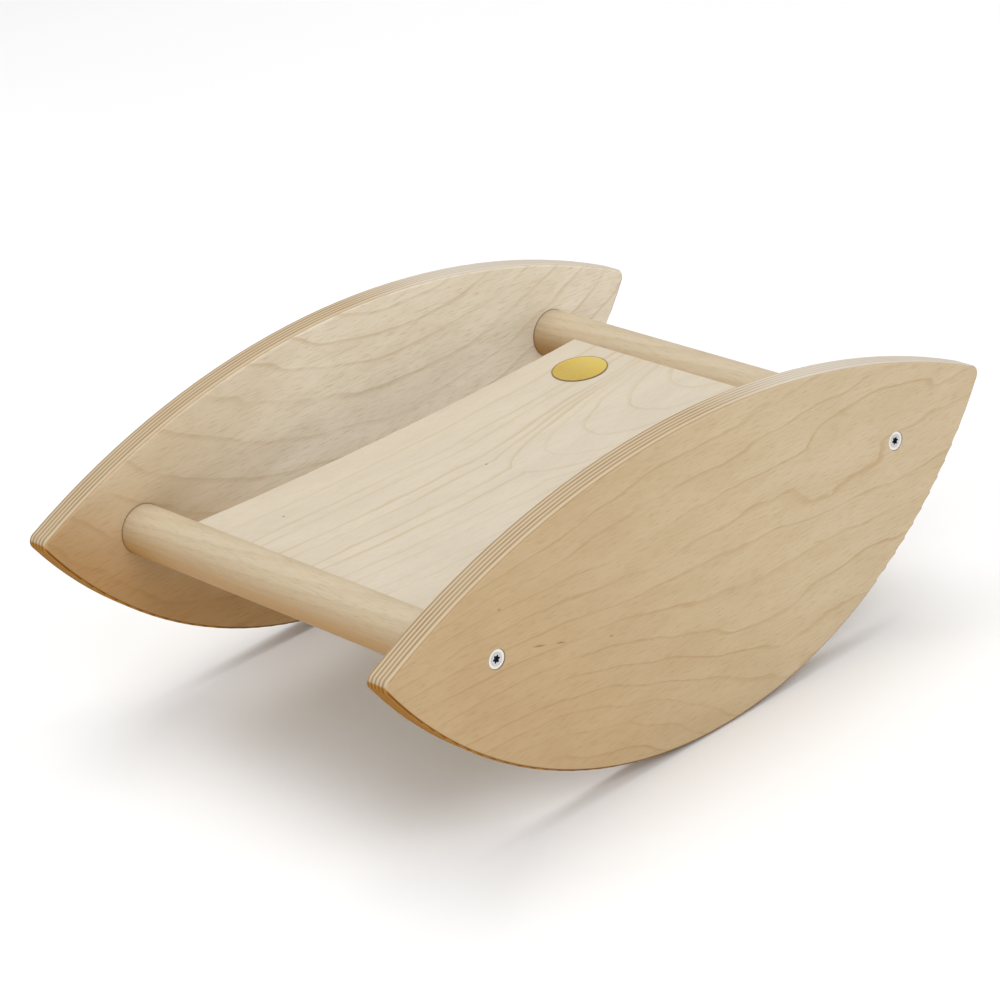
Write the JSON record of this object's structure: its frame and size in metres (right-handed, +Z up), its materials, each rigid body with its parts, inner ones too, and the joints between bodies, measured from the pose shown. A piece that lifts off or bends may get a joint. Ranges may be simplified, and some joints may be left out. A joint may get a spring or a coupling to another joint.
{
  "type": "rocker seesaw",
  "caption": "Low wooden floor seesaw for children: two lens-shaped rocking side panels joined by round rails and a dished deck board.",
  "frame": {"origin": "on the ground, under the middle of the object, where the rocking edges touch when it stands level", "axes": "+X forward along the rocking direction, +Y to the left across the object, +Z up"},
  "size_m": [0.5028, 0.34, 0.2037],
  "materials": {
    "panel_plywood": "birch plywood, clear satin lacquer",
    "deck_plywood": "pale birch plywood, clear satin lacquer",
    "rail_wood": "turned beech, clear satin lacquer",
    "badge": "glossy yellow, domed",
    "screw_steel": "zinc plated"
  },
  "bodies": {
    "root": {"panel_left": "panel_plywood", "panel_right": "panel_plywood", "rail_front": "rail_wood", "rail_rear": "rail_wood", "deck_board": "deck_plywood", "badge_disc": "badge", "screw_front_left": "screw_steel", "screw_front_right": "screw_steel", "screw_rear_left": "screw_steel", "screw_rear_right": "screw_steel"}
  },
  "joints": []
}
